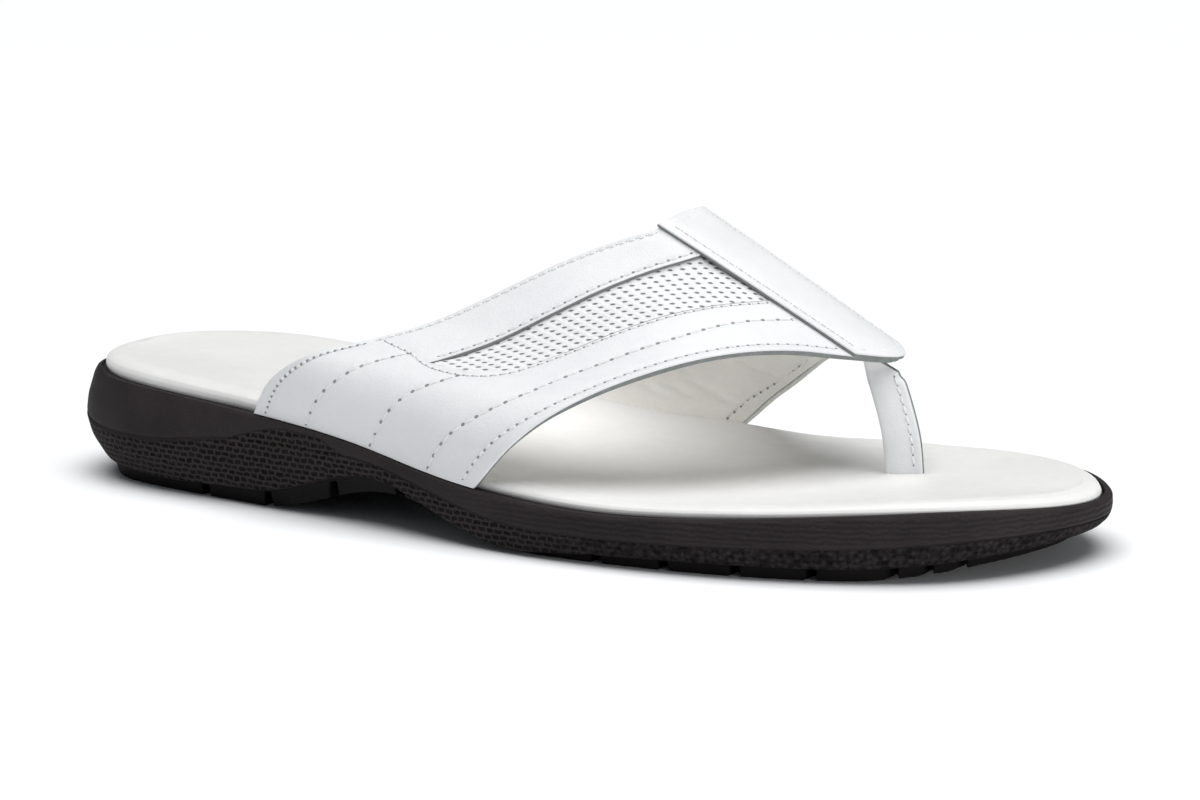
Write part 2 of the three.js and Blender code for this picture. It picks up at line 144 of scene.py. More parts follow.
def ringQuads(rows, columns):
    # quads between rings; the first and last ring fold on to the middle line
    number = np.arange(rows * columns).reshape(rows, columns)
    for row in (0, rows - 1):
        number[row] = number[row][np.minimum(np.arange(columns), mates(columns))]
    return tubeQuads(number)


def shellQuads(cells):
    # outer face, inner face and a side at every open edge
    wide, deep = cells.shape
    number = np.arange((wide + 1) * (deep + 1)).reshape(wide + 1, deep + 1)
    under = number.size
    a, b, c, d = np.moveaxis(cellCorners(number), 2, 0)
    around = np.pad(cells, 1)
    outer = np.stack([a, b, c, d], -1)[cells]
    inner = np.stack([a, d, c, b], -1)[cells] + under
    sides = np.concatenate([
        np.stack([a + under, a, d, d + under], -1)[cells & ~around[1:-1, :-2]],
        np.stack([b + under, c + under, c, b], -1)[cells & ~around[1:-1, 2:]],
        np.stack([a + under, b + under, b, a], -1)[cells & ~around[:-2, 1:-1]],
        np.stack([d + under, d, c, c + under], -1)[cells & ~around[2:, 1:-1]],
    ])
    kind = np.concatenate([np.zeros(len(outer)), np.ones(len(inner)), np.full(len(sides), 2)])
    return np.concatenate([outer, inner, sides]), kind.astype(int)


def makeShell(name, outer, inner, finishes, slotName, cells=None, flat=None, sharp=40):
    # wall between two point grids, with finishes for outer face, inner face and cut edges
    if cells is None:
        cells = np.ones((outer.shape[0] - 1, outer.shape[1] - 1), bool)
    quads, kind = shellQuads(cells)
    points = np.concatenate([outer.reshape(-1, 3), inner.reshape(-1, 3)])
    uv = None if flat is None else flat[quads % len(flat)]
    return makePiece(name, points, quads, finishes, slotName, kind, uv, sharp=sharp)


# finishes

class Wire:  # a socket that can be used in sums
    def __init__(self, tree, socket=None):
        self.tree = tree
        self.socket = socket

    def make(self, kind, settings=None, sockets=None, output=0):
        node = self.tree.nodes.new(kind)
        for key, value in (settings or {}).items():
            setattr(node, key, value)
        for key, value in (sockets or {}).items():
            if isinstance(value, Wire):
                self.tree.links.new(value.socket, node.inputs[key])
            else:
                node.inputs[key].default_value = value
        return Wire(self.tree, node.outputs[output] if len(node.outputs) else None)

    def sum(self, operation, first, second=0.0):
        return self.make("ShaderNodeMath", {"operation": operation}, {0: first, 1: second})

    def __add__(self, other):
        return self.sum("ADD", self, other)

    def __sub__(self, other):
        return self.sum("SUBTRACT", self, other)

    def __rsub__(self, other):
        return self.sum("SUBTRACT", other, self)

    def __mul__(self, other):
        return self.sum("MULTIPLY", self, other)

    __radd__ = __add__
    __rmul__ = __mul__


def startFinish(name):
    material = bpy.data.materials.new(name)
    material.use_nodes = True
    material.node_tree.nodes.clear()
    return material, Wire(material.node_tree)


def endFinish(wire, colour, roughness, fixed, height=None, depth=0.0):
    # one principled shader, with a bump of a depth in mm
    sockets = {"Base Color": colour, "Roughness": roughness, **fixed}
    if height is not None:
        bump = {"Strength": 1.0, "Distance": depth * mm, "Height": height}
        sockets["Normal"] = wire.make("ShaderNodeBump", {}, bump)
    shader = wire.make("ShaderNodeBsdfPrincipled", {}, sockets)
    wire.make("ShaderNodeOutputMaterial", {}, {"Surface": shader})


def blendColour(mask, low, high):
    return mask.make("ShaderNodeMix", {"data_type": "RGBA"}, {0: mask, 6: low, 7: high}, 2)


def place(wire):
    return wire.make("ShaderNodeTexCoord", {}, {}, "Object")


def spread(value, low, high):  # 0 below low, 1 above high
    return value.make("ShaderNodeMapRange", {}, {"Value": value, "From Min": low, "From Max": high})


def clouds(at, size, detail, output="Fac", roughness=0.5):  # noise with spots of a size in mm
    sockets = {"Vector": at, "Scale": 1 / (size * mm), "Detail": detail, "Roughness": roughness}
    return at.make("ShaderNodeTexNoise", {}, sockets, output)


def pebbles(at, size, smooth):  # rounded cells of a size in mm
    sockets = {"Vector": at, "Scale": 1 / (size * mm), "Smoothness": smooth}
    return at.make("ShaderNodeTexVoronoi", {"feature": "SMOOTH_F1"}, sockets)


def pushed(at, size, detail, amount):  # place moved about by coloured noise
    push = clouds(place(at), size, detail, "Color")
    settings = {"data_type": "RGBA", "blend_type": "LINEAR_LIGHT"}
    return at.make("ShaderNodeMix", settings, {0: amount, 6: at, 7: push}, 2)


def part(vector, axis):  # one axis of a vector
    return vector.make("ShaderNodeSeparateXYZ", {}, {"Vector": vector}, axis)


leatherLook = {
    "cell": 0.55, "depth": 0.055, "pore": 0.35, "fleck": 3.5, "mottle": 28,
    "pushSize": 2.2, "push": 0.0002, "groove": 0.8, "grooveShare": 0.12,
    "fixed": {"Specular IOR Level": 0.42, "Sheen Weight": 0.04, "Sheen Roughness": 0.5},
}


def leatherFinish(name, pale, shade, rough, cell=1.0, depth=1.0):
    # rounded grain cells over faint pores, slow changes of tone and gloss
    material, wire = startFinish(name)
    at = place(wire)
    bent = pushed(at, leatherLook["pushSize"], 2.0, leatherLook["push"])
    grain = pebbles(bent, leatherLook["cell"] * cell, 0.6)
    pores = clouds(at, leatherLook["pore"], 3.0)
    tone = clouds(at, leatherLook["mottle"], 4.0)
    fine = clouds(at, leatherLook["fleck"], 5.0)
    mask = spread(tone * 0.7 + fine * 0.3, 0.36, 0.62)
    colour = blendColour(mask, shade, pale)
    groove = (*(leatherLook["groove"] * v for v in shade[:3]), 1)
    colour = blendColour(spread(grain, 0.55, 0.9) * leatherLook["grooveShare"], colour, groove)
    gloss = rough + 0.1 * (fine - 0.5) + 0.06 * grain
    height = (1 - grain) * 0.75 + pores * 0.25
    endFinish(wire, colour, gloss, leatherLook["fixed"], height, leatherLook["depth"] * depth)
    return material


def plainFinish(name, pale, shade, rough, size, depth):
    # fibres or yarn: two tones and a fine bump from one noise
    material, wire = startFinish(name)
    at = place(wire)
    grainy = clouds(at, size, 4.0)
    slow = clouds(at, size * 9, 3.0)
    mask = spread(grainy * 0.55 + slow * 0.45, 0.34, 0.64)
    colour = blendColour(mask, shade, pale)
    endFinish(wire, colour, rough + 0.12 * (grainy - 0.5), {"Specular IOR Level": 0.3}, grainy, depth)
    return material


upperLeather = leatherFinish("upper_leather", (0.78, 0.786, 0.792, 1), (0.735, 0.743, 0.752, 1), 0.44)
strapLeather = leatherFinish("strap_leather", (0.775, 0.778, 0.782, 1), (0.735, 0.74, 0.745, 1), 0.43)
bedLeather = leatherFinish("footbed_leather", (0.825, 0.817, 0.8, 1), (0.78, 0.77, 0.75, 1), 0.5, 0.9, 0.7)
liningLeather = plainFinish("lining_leather", (0.97, 0.95, 0.91, 1), (0.91, 0.89, 0.845, 1), 0.62, 0.6, 0.06)
cutLeather = plainFinish("cut_leather_edge", (0.25, 0.27, 0.26, 1), (0.15, 0.168, 0.16, 1), 0.75, 0.25, 0.08)
yarn = plainFinish("sewing_thread", (0.86, 0.86, 0.85, 1), (0.72, 0.72, 0.71, 1), 0.6, 0.18, 0.05)
# painted shade: the colour of the ovals that stand for the needle holes
needleHoleShade = plainFinish("needle_hole_shade", (0.34, 0.345, 0.35, 1), (0.2, 0.205, 0.21, 1), 0.8, 0.3, 0.02)

panelLook = {
    "pitch": 2.7, "turn": 14.5, "hole": 0.25, "depth": 0.45, "fine": 0.5, "slow": 9,
    "shade": (0.77, 0.785, 0.785, 1), "pale": (0.86, 0.865, 0.86, 1), "holeShade": (0.18, 0.187, 0.187, 1),
}


def wallMap(wire):  # the piece's own map, in millimetres
    return wire.make("ShaderNodeUVMap", {"uv_map": "UVMap"})


def panelFinish(name):
    # small holes on a square lattice turned a little, with raised cords between them; the holes get painted
    # shade, as no opening is cut
    material, wire = startFinish(name)
    at = wallMap(wire)
    across, along = part(at, "X"), part(at, "Y")
    turn = math.radians(panelLook["turn"])
    straight, slant = math.cos(turn) / panelLook["pitch"], math.sin(turn) / panelLook["pitch"]
    cellX = wire.sum("FRACT", across * straight + along * slant) - 0.5
    cellY = wire.sum("FRACT", along * straight - across * slant) - 0.5
    far = wire.sum("SQRT", cellX * cellX + cellY * cellY)
    hole = 1 - spread(far, panelLook["hole"] * 0.5, panelLook["hole"])
    edge = wire.sum("MAXIMUM", wire.sum("ABSOLUTE", cellX), wire.sum("ABSOLUTE", cellY))
    cord = spread(edge, 0.25, 0.5)
    fine = clouds(place(wire), panelLook["fine"], 3.0)
    slow = clouds(place(wire), panelLook["slow"], 2.0)
    mask = spread(fine * 0.5 + slow * 0.5, 0.35, 0.65)
    colour = blendColour(mask, panelLook["shade"], panelLook["pale"])
    # painted shade: the holes are only painted dark for the shade inside them
    colour = blendColour(hole, colour, panelLook["holeShade"])
    height = (1 - hole) * 0.7 + cord * 0.25 + fine * 0.08
    endFinish(wire, colour, 0.55 + 0.1 * fine, {"Specular IOR Level": 0.35}, height, panelLook["depth"])
    return material


panelWeave = panelFinish("perforated_leather")

rubberLook = {
    "dashLong": 2.6, "rowTall": 1.56, "joint": 0.37, "depth": 0.5, "line": 1.3, "pebble": 1.5,
    "pushSize": 2.6, "push": 0.8, "fine": 0.7, "slow": 14, "pebbleShare": 0.75,
    "shrink": 4,  # the brick node takes only thin joints, so its map is shrunk
    "shade": (0.0215, 0.0178, 0.0183, 1), "pale": (0.035, 0.0295, 0.0302, 1),
    "ground": (0.04, 0.033, 0.0325, 1), "pit": (0.0015, 0.0013, 0.0013, 1),
    # painted shade: dark for the grooves between the fine lines, beside the highlights on their ridges
    "lineShade": (0.007, 0.0062, 0.0062, 1), "speck": (0.13, 0.115, 0.112, 1),
    # painted shade: near black for the lugs, which sit in shade under the sole
    "lugShade": (0.004, 0.0036, 0.0036, 1),
}


def rubberFinish(name):
    # smooth band, fine lines in front with painted shade in their grooves, rows of dark dashes on the lower
    # band, lugs darkened with painted shade
    look = rubberLook
    material, wire = startFinish(name)
    low, fore, lines, lug = (wire.make("ShaderNodeAttribute", {"attribute_name": key}, {}, "Fac")
                             for key in ("lowBand", "foreBand", "lineBand", "lugBand"))
    at = place(wire)
    bent = pushed(wallMap(wire), look["pushSize"], 3.0, look["push"])
    shrink = 1 / look["shrink"]
    brick = wire.make("ShaderNodeTexBrick", {"offset": 0.5}, {
        "Vector": bent, "Scale": shrink, "Mortar Size": look["joint"] * shrink, "Mortar Smooth": 0.3,
        "Brick Width": look["dashLong"] * shrink, "Row Height": look["rowTall"] * shrink,
        "Color1": (0, 0, 0, 1), "Color2": (0.25, 0.25, 0.25, 1), "Mortar": (1, 1, 1, 1)}, "Color")
    dash = wire.make("ShaderNodeRGBToBW", {}, {"Color": brick})
    fine = clouds(at, look["fine"], 5.0, "Fac", 0.65)
    slow = clouds(at, look["slow"], 4.0)
    low = spread(low + (fine - 0.5) * 0.9, 0.3, 0.6)  # dissolves at its upper limit
    rough = spread(pebbles(at, look["pebble"], 0.4), 0.15, 0.7)
    stripe = wire.sum("SINE", part(bent, "Y") * (2 * math.pi / look["line"])) * 0.5 + 0.5
    front = fore * look["pebbleShare"]
    cell = dash * (1 - front) + (1 - rough) * front  # dashes turn to pebbles in front
    mask = spread(fine * 0.5 + slow * 0.5, 0.35, 0.66)
    colour = blendColour(mask, look["shade"], look["pale"])
    speck = spread(fine, 0.62, 0.7) * spread(slow, 0.4, 0.6)
    # painted shade on the lugs and in the grooves between the fine lines
    layers = {"ground": cell * low * (0.6 - fore * 0.45), "pit": (1 - cell) * low * 0.95,
              "lineShade": (1 - stripe) * lines * 0.4, "speck": speck * low * (0.5 - fore * 0.3),
              "lugShade": lug * 0.8}
    for key, mask in layers.items():
        colour = blendColour(mask, colour, look[key])
    gloss = 0.52 + 0.22 * fine + 0.14 * low
    height = (cell * 0.8 + fine * 0.4) * low + stripe * lines * 0.4 + fine * 0.12
    endFinish(wire, colour, gloss, {"Specular IOR Level": 0.08}, height, look["depth"])
    return material


soleRubber = rubberFinish("sole_rubber")
print("finishes ready")


# sole plan, the same rows as the solid: one every 15 degrees from heel to toe
# roll lifts the rim by its value for each rollReach outwards from rollMiddle
solePlan = {
    "length": 286, "gap": 0.3, "soften": 0.07,
    "outer": [6.3, -13.2, -26.7, -33.7, -37.5, -43.7, -51.8, -55.9, -53.7, -45.4, -31.8, -10, 11.8],
    "inner": [6.3, 25.3, 39.3, 45.8, 44.3, 42.4, 46, 53.6, 56, 52.7, 44, 29, 11.8],
    "rim": [29, 28.8, 28.3, 27.3, 25.3, 21.8, 15.3, 12.7, 13.9, 15.6, 16.2, 15, 14],
    "margin": [6.2, 5.6, 5.3, 4.6, 3.9, 3.4, 3.3, 3.3, 3.3, 3.1, 2.9, 2.8, 2.8],
    "sink": [0, 0, 0, 0, 0, 0, 0, 0, 0.3, 0.9, 1.4, 1.6, 2],
    "roll": [-0.8, -0.8, -0.8, -0.8, -0.7, -0.3, 0, 0, 0.3, 0.8, 1.4, 1.4, 1.2],
    "lug": [4, 4.2, 4.4, 3.4, 4.6, 5, 0.1, 2.6, 3.4, 3.4, 3, 2.4, 2.2],
    "band": [0.45, 0.45, 0.45, 0.49, 0.68, 0.62, 0.58, 0.46, 0.42, 0.42, 0.42, 0.42, 0.42],
    "rollMiddle": 6, "rollReach": 50,
    "archRise": 9, "archSpan": (-70, -26, 22),
    "toeSpring": 5, "toeFrom": 96, "toeCurve": 1.6,
    "heelBevel": 5, "heelFrom": -120, "heelCurve": 1.8,
}
halfLength = solePlan["length"] / 2
rowCount = len(solePlan["rim"])
foldedRow = np.arange(-rowCount, rowCount + 2)  # rows round the sole, a little past both ends
rowInside = np.abs(foldedRow) < rowCount
rowNumber = np.where(rowInside, np.abs(foldedRow), 2 * rowCount - 2 - np.abs(foldedRow))
rowAngle = foldedRow * math.pi / (rowCount - 1)


def planRow(column):
    return np.array(solePlan[column])[rowNumber]


rowSide = np.where((foldedRow >= 0) == rowInside, planRow("outer"), planRow("inner"))


def softLine(values, angle):  # a column averaged over a few degrees
    return sum(w * cubicLine(rowAngle, values, angle + k * solePlan["soften"]) for k, w in soften)


def planPoint(angle, inset):  # plan point moved in along its normal
    d = 0.004  # half a step for the slope
    tx = halfLength * (np.cos(angle - d) - np.cos(angle + d))
    ty = softLine(rowSide, angle + d) - softLine(rowSide, angle - d)
    size = np.hypot(tx, ty)
    return -halfLength * np.cos(angle) - inset * ty / size, softLine(rowSide, angle) + inset * tx / size


def angleAt(x):
    return np.arccos(np.clip(-x / halfLength, -1, 1))


def columnAt(column, x):  # a column at a place along the sole
    return softLine(planRow(column), angleAt(x))


def rimAt(x, y):  # rim height, rolled over the width
    return columnAt("rim", x) + columnAt("roll", x) * (solePlan["rollMiddle"] - y) / solePlan["rollReach"]


def seatAt(x, y):  # the footbed's seat, sunk at the toe
    return rimAt(x, y) - np.maximum(columnAt("sink", x), 0)


def marginAt(angle):
    return cubicLine(rowAngle, planRow("margin"), angle)


def underAt(x):  # underside: heel bevel, arch and toe spring
    start, top, end = solePlan["archSpan"]
    toeStart, heelStart = solePlan["toeFrom"], solePlan["heelFrom"]
    toe = np.clip((x - toeStart) / (halfLength - toeStart), 0, 1) ** solePlan["toeCurve"]
    heel = np.clip((heelStart - x) / (halfLength + heelStart), 0, 1) ** solePlan["heelCurve"]
    arch = fade(x, start, top - start) * fade(x, end, top - end)
    return solePlan["toeSpring"] * toe + solePlan["heelBevel"] * heel + solePlan["archRise"] * arch


# outsole: wall rows from rim to floor, then the underside with cross grooves
# a row's height is a level: 3 the rim, 2 the line between the bands, 1 the lugs' top, 0 the underside
# heel, fore and toe are insets from the widest line; a fade is a start and a reach
outsole = {
    "height": [3, 2.88, 2.4, 2.06, 2, 1.95, 1.5, 1, 0.9, 0],
    "heel": [3.2, 2.4, 0.7, 0.2, 0.6, 0.1, 1.3, 4.6, 7, 8],
    "fore": [0.7, 0.2, 0, 0.05, 0.25, 0.05, 0.5, 1.8, 4.6, 5.4],
    "toe": [0.6, 0.1, 0, 0.2, 0.6, 0.3, 1, 2.8, 8.6, 10],
    "heelFade": (-58, -50), "toeFade": (104, 34), "fineRows": 7, "columns": 200,
    "grooves": [(-90, 22.4, 4, 4), (38.3, 18.3, 5, 3), (119.5, 7.5, 2, 2.4)],  # first, pitch, count, depth
    "grooveWidth": 2.8, "grooveEdge": 0.25, "grooveLevel": 1.3,
    "seatEdge": (1.1, 0.8, 0.55), "lip": 0.8, "lipFade": (-120, -18),
    "underRows": [1, 0.8, 0.6, 0.4, 0.2, 0.08], "seatRows": [0, 0, 0, 0.3, 1],
}
# where each texture of the wall lies, by level and along the sole
soleBands = {
    "low": (0.97, 0.06), "lowTop": (2.08, -0.3), "lug": (0.98, -0.08),
    "line": (2.05, 0.1), "lineTop": (2.95, -0.1), "foreAlong": (10, 40), "lineAlong": (-20, 60),
    "climb": 0.8, "climbAlong": (-80, 24), "climbEnd": (-36, -10),  # here the low texture nears the rim
}


def softRows(values, fine):
    # table rows with steps between them, rounded by two averages
    at = np.linspace(0, len(values) - 1, (len(values) - 1) * fine + 1)
    rows = np.interp(at, np.arange(len(values)), values)
    for turn in range(2):
        rows[1:-1] = 0.25 * rows[:-2] + 0.5 * rows[1:-1] + 0.25 * rows[2:]
    return rows


def roundAngles(side):  # a whole ring from its outer half
    return np.concatenate([-side[::-1], side[1:-1]])


def towardsMiddle(ring, shares):  # rings from one to its middle line
    middle = (ring + ring[mates(len(ring))]) / 2
    return between(ring[None], middle[None], np.array(shares)[:, None, None])


def wallHeight(x, y, height):  # height on the wall from a level
    under = underAt(x)
    lugs = under + columnAt("lug", x)
    rim = rimAt(x, y)
    line = between(lugs, rim, columnAt("band", x))
    low, mid, top = (np.clip(height - k, 0, 1) for k in range(3))
    return under + (lugs - under) * low + (line - lugs) * mid + (rim - line) * top


def bandShares(level, along, onWall):  # share of every wall texture
    climb = soleBands["climb"] * fade(along, *soleBands["climbAlong"]) * fade(along, *soleBands["climbEnd"])
    lowTop, lowReach = soleBands["lowTop"]
    lines = fade(level, *soleBands["line"]) * fade(level, *soleBands["lineTop"])
    return {
        "lowBand": fade(level, *soleBands["low"]) * fade(level, lowTop + climb, lowReach) * onWall,
        "foreBand": fade(along, *soleBands["foreAlong"]),
        "lineBand": lines * fade(along, *soleBands["lineAlong"]),
        "lugBand": fade(level, *soleBands["lug"]) * np.ones_like(along),
    }


def makeOutsole():
    width, edge = outsole["grooveWidth"] / 2, outsole["grooveEdge"]
    grooves = [(first + pitch * k, depth) for first, pitch, n, depth in outsole["grooves"] for k in range(n)]
    grooveAt, grooveDeep = np.array(grooves).T
    edges = np.concatenate([grooveAt + s * width + t * edge for s in (-1, 1) for t in (-1, 1)])
    even = np.linspace(0, math.pi, outsole["columns"])
    angle = roundAngles(np.unique(np.concatenate([even, np.arccos(-edges / halfLength)])))
    plainX = -halfLength * np.cos(angle)
    apart = np.abs(plainX[:, None] - grooveAt[None])
    inGroove = smoothStep(0.5 - (apart.min(axis=1) - width) / (2 * edge))
    cut = (inGroove * grooveDeep[apart.argmin(axis=1)])[None]
    table = {k: softRows(outsole[k], outsole["fineRows"])[:, None] for k in ("height", "heel", "fore", "toe")}
    inset = between(table["fore"], table["toe"], fade(plainX, *outsole["toeFade"])[None])
    inset = between(inset, table["heel"], fade(plainX, *outsole["heelFade"])[None])
    x, y = planPoint(angle[None], inset)
    z = wallHeight(x, y, table["height"])
    z = np.maximum(z, np.where(table["height"] < outsole["grooveLevel"], underAt(x) + cut, 0))
    wall = np.stack([x, y, z], -1)
    below = towardsMiddle(wall[-1], outsole["underRows"])
    below[..., 2] = underAt(below[..., 0]) + cut
    above = towardsMiddle(wall[0], outsole["seatRows"])
    for row, reach in enumerate(outsole["seatEdge"]):  # the rim's inner edge, then the seat below it
        above[row, :, 0], above[row, :, 1] = planPoint(angle, marginAt(angle) - reach)
    above[..., 2] = seatAt(above[..., 0], above[..., 1])
    above[:2, :, 2] = rimAt(above[:2, :, 0], above[:2, :, 1])
    above[0, :, 2] += outsole["lip"] * fade(plainX, *outsole["lipFade"])  # at the back of the heel
    grid = np.concatenate([below, wall[::-1], above])
    rows, columns = grid.shape[:2]
    # the map runs round the sole and up the wall in millimetres
    lap = runAlong(np.stack(planPoint(np.append(angle, math.pi), 0), -1))
    tall = np.concatenate([grid[..., 2], grid[:, :1, 2]], axis=1)
    uv = cellCorners(np.stack([np.broadcast_to(lap, tall.shape), tall], -1)).reshape(-1, 4, 2)
    level = np.concatenate([np.zeros(len(below)), table["height"][::-1, 0], np.full(len(above), 3.0)])
    onWall = np.repeat([0, 1, 0], [len(below), len(wall), len(above)])
    along = np.broadcast_to(plainX, (rows, columns))
    bands = bandShares(level[:, None], along, onWall[:, None])
    quads = ringQuads(rows, columns)
    piece = makePiece("outsole_body", grid, quads, [soleRubber], "outsole", uv=uv, bands=bands, sharp=50)
    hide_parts("outsole")


makeOutsole()
print("outsole")


# footbed: a cushion with a rolled edge, a shallow dish and soft wrinkles
footbed = {
    "inset": [0.3, 0.05, 0, 0.5, 2, 4.5],
    "height": [0, 0.2, 0.45, 0.72, 0.93, 1],
    "fineRows": 6, "columns": 220, "topRows": 25, "underRows": [1, 0.5, 0.1], "seatGap": 0.05,
    "thick": (4, 2.4), "dish": (1.6, 1.2), "foreFade": (-90, 140), "dishReach": 36,
    "toeLift": 0.6, "toeFade": (80, 45),
    "rise": 2.2, "riseFade": (-80, 60), "riseEnd": (60, -40), "riseSide": (0, 40),  # under the arch
    # place along and across, step, depth, reach along and across
    "wrinkles": [(38, 36, 1.7, 0.1, 20, 11), (62, 34, 2.3, 0.08, 16, 12),
                 (20, -28, 2.6, 0.05, 18, 14)],
    "wrinkleRun": (0.94, 0.34), "wander": 1.6, "wanderSize": 14, "topFade": (0.6, 0.3),
    "swell": 0.22, "swellSize": 46, "swellSeed": 5,
}


def footbedHeight(x, y, share, far):
    # seat and thickness with the rise and lift, less the dish
    fore = fade(x, *footbed["foreFade"])
    rise = fade(x, *footbed["riseFade"]) * fade(x, *footbed["riseEnd"]) * fade(y, *footbed["riseSide"])
    lift = footbed["toeLift"] * fade(x, *footbed["toeFade"])
    tall = share * (between(*footbed["thick"], fore) + footbed["rise"] * rise + lift)
    dish = between(*footbed["dish"], fore) * (1 - (1 - np.clip(far / footbed["dishReach"], 0, 1)) ** 2)
    return seatAt(x, y) + footbed["seatGap"] + solePlan["gap"] * share + tall - dish


def makeFootbed():
    angle = roundAngles(np.linspace(0, math.pi, footbed["columns"]))
    inset = softRows(footbed["inset"], footbed["fineRows"])[:, None]
    share = softRows(footbed["height"], footbed["fineRows"])
    edge = np.stack(planPoint(angle[None], marginAt(angle)[None] + inset), -1)
    under = towardsMiddle(edge[0], footbed["underRows"])
    top = towardsMiddle(edge[-1], np.linspace(0, 1, footbed["topRows"] + 1)[1:])
    plan = np.concatenate([under, edge, top])
    shares = np.concatenate([np.zeros(len(under)), share, np.ones(len(top))])[:, None]
    far = np.linalg.norm(plan - edge[-1], axis=-1)
    far[:len(under) + len(edge)] = 0
    x, y = plan[..., 0], plan[..., 1]
    z = footbedHeight(x, y, shares, far)
    onTop = fade(shares, *footbed["topFade"])
    runX, runY = footbed["wrinkleRun"]
    for atX, atY, step, depth, longX, longY in footbed["wrinkles"]:
        near = np.exp(-((x - atX) / longX) ** 2 - ((y - atY) / longY) ** 2)
        run = x * runX + y * runY + footbed["wander"] * softNoise(x, y, footbed["wanderSize"], int(atX))
        z = z + onTop * depth * near * np.sin(2 * math.pi * run / step)
    z = z + onTop * footbed["swell"] * softNoise(x, y, footbed["swellSize"], footbed["swellSeed"])
    grid = np.stack([x, y, z], -1)
    piece = makePiece("footbed_cushion", grid, ringQuads(*z.shape), [bedLeather], "footbed")
    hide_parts("footbed")


makeFootbed()
print("footbed")


# strap wings: ribs from rear edge to front edge, from the outer base over the instep
wings = {
    "rear": np.array([
        [-69, -37.5, 25], [-62.2, -40.2, 34.2], [-51, -39, 41.6], [-37.5, -32.8, 45.5],
        [-23.6, -25.3, 49.8], [-10.7, -18.3, 56.3], [2, -11.4, 63.4], [14.5, -3.8, 69.4], [26.8, 4.3, 73.8],
        [28, 14.2, 75.6], [28.8, 24.3, 76], [19, 29.2, 72.6], [8, 33, 67.8], [-3.5, 37.5, 62.3],
        [-15, 42, 56], [-26.5, 46, 49.5], [-38, 48.5, 42.5], [-48, 47.8, 34], [-56, 42.6, 24]]),
    "front": np.array([
        [5, -52, 16.3], [14.9, -52.4, 26.4], [24, -47, 34.1], [32.6, -38.9, 39.5],
        [41.8, -31.1, 43.5], [51.3, -23.1, 46.5], [60.8, -14, 47.9], [69.8, -3.5, 47.3], [78.2, 7.2, 45],
        [86.4, 18.4, 43.3], [80.3, 28.1, 45], [75, 32.8, 44.6], [69, 36.6, 43], [62.5, 40.6, 41],
        [56, 44, 37.8], [49, 46.6, 32.6], [41, 48.6, 26.6], [32.5, 50.2, 22.2], [24, 49.6, 18]]),
    "crown": [0, 0.6, 0.2, -0.6, -0.4, 0.4, 0.8, 0.6, 0.2, 0, 0.2, 0.8, 1.6, 2.4, 3.2, 4.8, 5.2, 3.8, 0],
    "wall": 2, "face": 1.2, "baseFade": 2, "soften": 0.3,
    "strapEnd": (8.15, 9.85), "roundEnd": (2.75, 15.25), "round": 0.7, "close": 0.45,
    "windowTop": [0.215, 0.293, 0.347], "windowBottom": [0.575, 0.605, 0.62],
    "ribs": 253, "rearRows": 18, "windowRows": 20, "frontRows": 22,
}
lastRib = len(wings["crown"]) - 1
ribNumber = np.arange(lastRib + 1)
ribRun = (runAlong(wings["rear"]) + runAlong(wings["front"])) / 2
ribLong, ribWide = 64.0, 11.0  # usual length of a rib and step to the next


def curveThrough(knots, points, at):  # cubic through points in space
    return np.stack([cubicLine(knots, points[:, axis], at) for axis in range(3)], -1)


def ruledPoint(rib, share):  # a point on the straight rib
    at = np.interp(rib, ribNumber, ribRun)
    rear, front = (curveThrough(ribRun, wings[k], at) for k in ("rear", "front"))
    return between(rear, front, np.asarray(share)[..., None])


def surfaceNormal(surface, rib, share):
    d = 0.01  # half a step for the slopes
    across = surface(np.minimum(rib + d, lastRib), share) - surface(np.maximum(rib - d, 0), share)
    along = surface(rib, share + d) - surface(rib, share - d)
    return unit(np.cross(along, across))


def baseShare(rib):
    return 1 - smoothStep(np.minimum(rib, lastRib - rib) / wings["baseFade"])


def basePoint(outerSide, share):  # the wing's foot on the rim
    row = np.where(outerSide, 0, lastRib)
    x = between(wings["rear"][row, 0], wings["front"][row, 0], share)
    angle = angleAt(x) * np.where(outerSide, 1, -1)
    px, py = planPoint(angle, marginAt(angle) - solePlan["gap"] - wings["wall"])
    return np.stack([px, py, rimAt(px, py) + solePlan["gap"]], -1)


def wingPoint(rib, share):  # rib lifted by the crown and led to its foot
    point = ruledPoint(rib, share)
    inside = np.clip(share, 0, 1)
    lift = 4 * inside * (1 - inside) * cubicLine(ribNumber, wings["crown"], rib)
    point = point + surfaceNormal(ruledPoint, rib, share) * lift[..., None]
    outerSide = rib < lastRib / 2
    foot = basePoint(outerSide, share) - ruledPoint(np.where(outerSide, 0.0, float(lastRib)), share)
    return point + foot * baseShare(rib)[..., None]


def wingFace(rib, share):  # averaged so that no rib shows as a ridge
    reach = wings["soften"]
    reach = reach * np.clip(np.minimum(rib, lastRib - rib) / (2 * reach), 0, 1)
    return sum(w * wingPoint(rib + k * reach, share) for k, w in soften)


def wingFrame(rib, share):  # point and outward normal, level at the base
    rib, share = np.broadcast_arrays(np.asarray(rib, float), np.asarray(share, float))
    normal = surfaceNormal(wingFace, rib, share)
    normal = normal * np.stack([np.ones_like(rib), np.ones_like(rib), 1 - baseShare(rib)], -1)
    return wingFace(rib, share), unit(normal)


def windowEdges(rib):  # shares of the window's edges, which close at its round end
    outerSide = rib < lastRib / 2
    strapEnd = np.where(outerSide, *wings["strapEnd"])
    roundEnd = np.where(outerSide, *wings["roundEnd"])
    t = np.clip((rib - strapEnd) / (roundEnd - strapEnd), 0, 1)
    top, bottom = (cubicLine([0, 0.5, 1], wings[k], t) for k in ("windowTop", "windowBottom"))
    near = np.clip(np.abs(roundEnd - rib) / wings["round"], 0, 1)
    return top, between(top, bottom, between(wings["close"], 1, np.sqrt(1 - (1 - near) ** 2)))


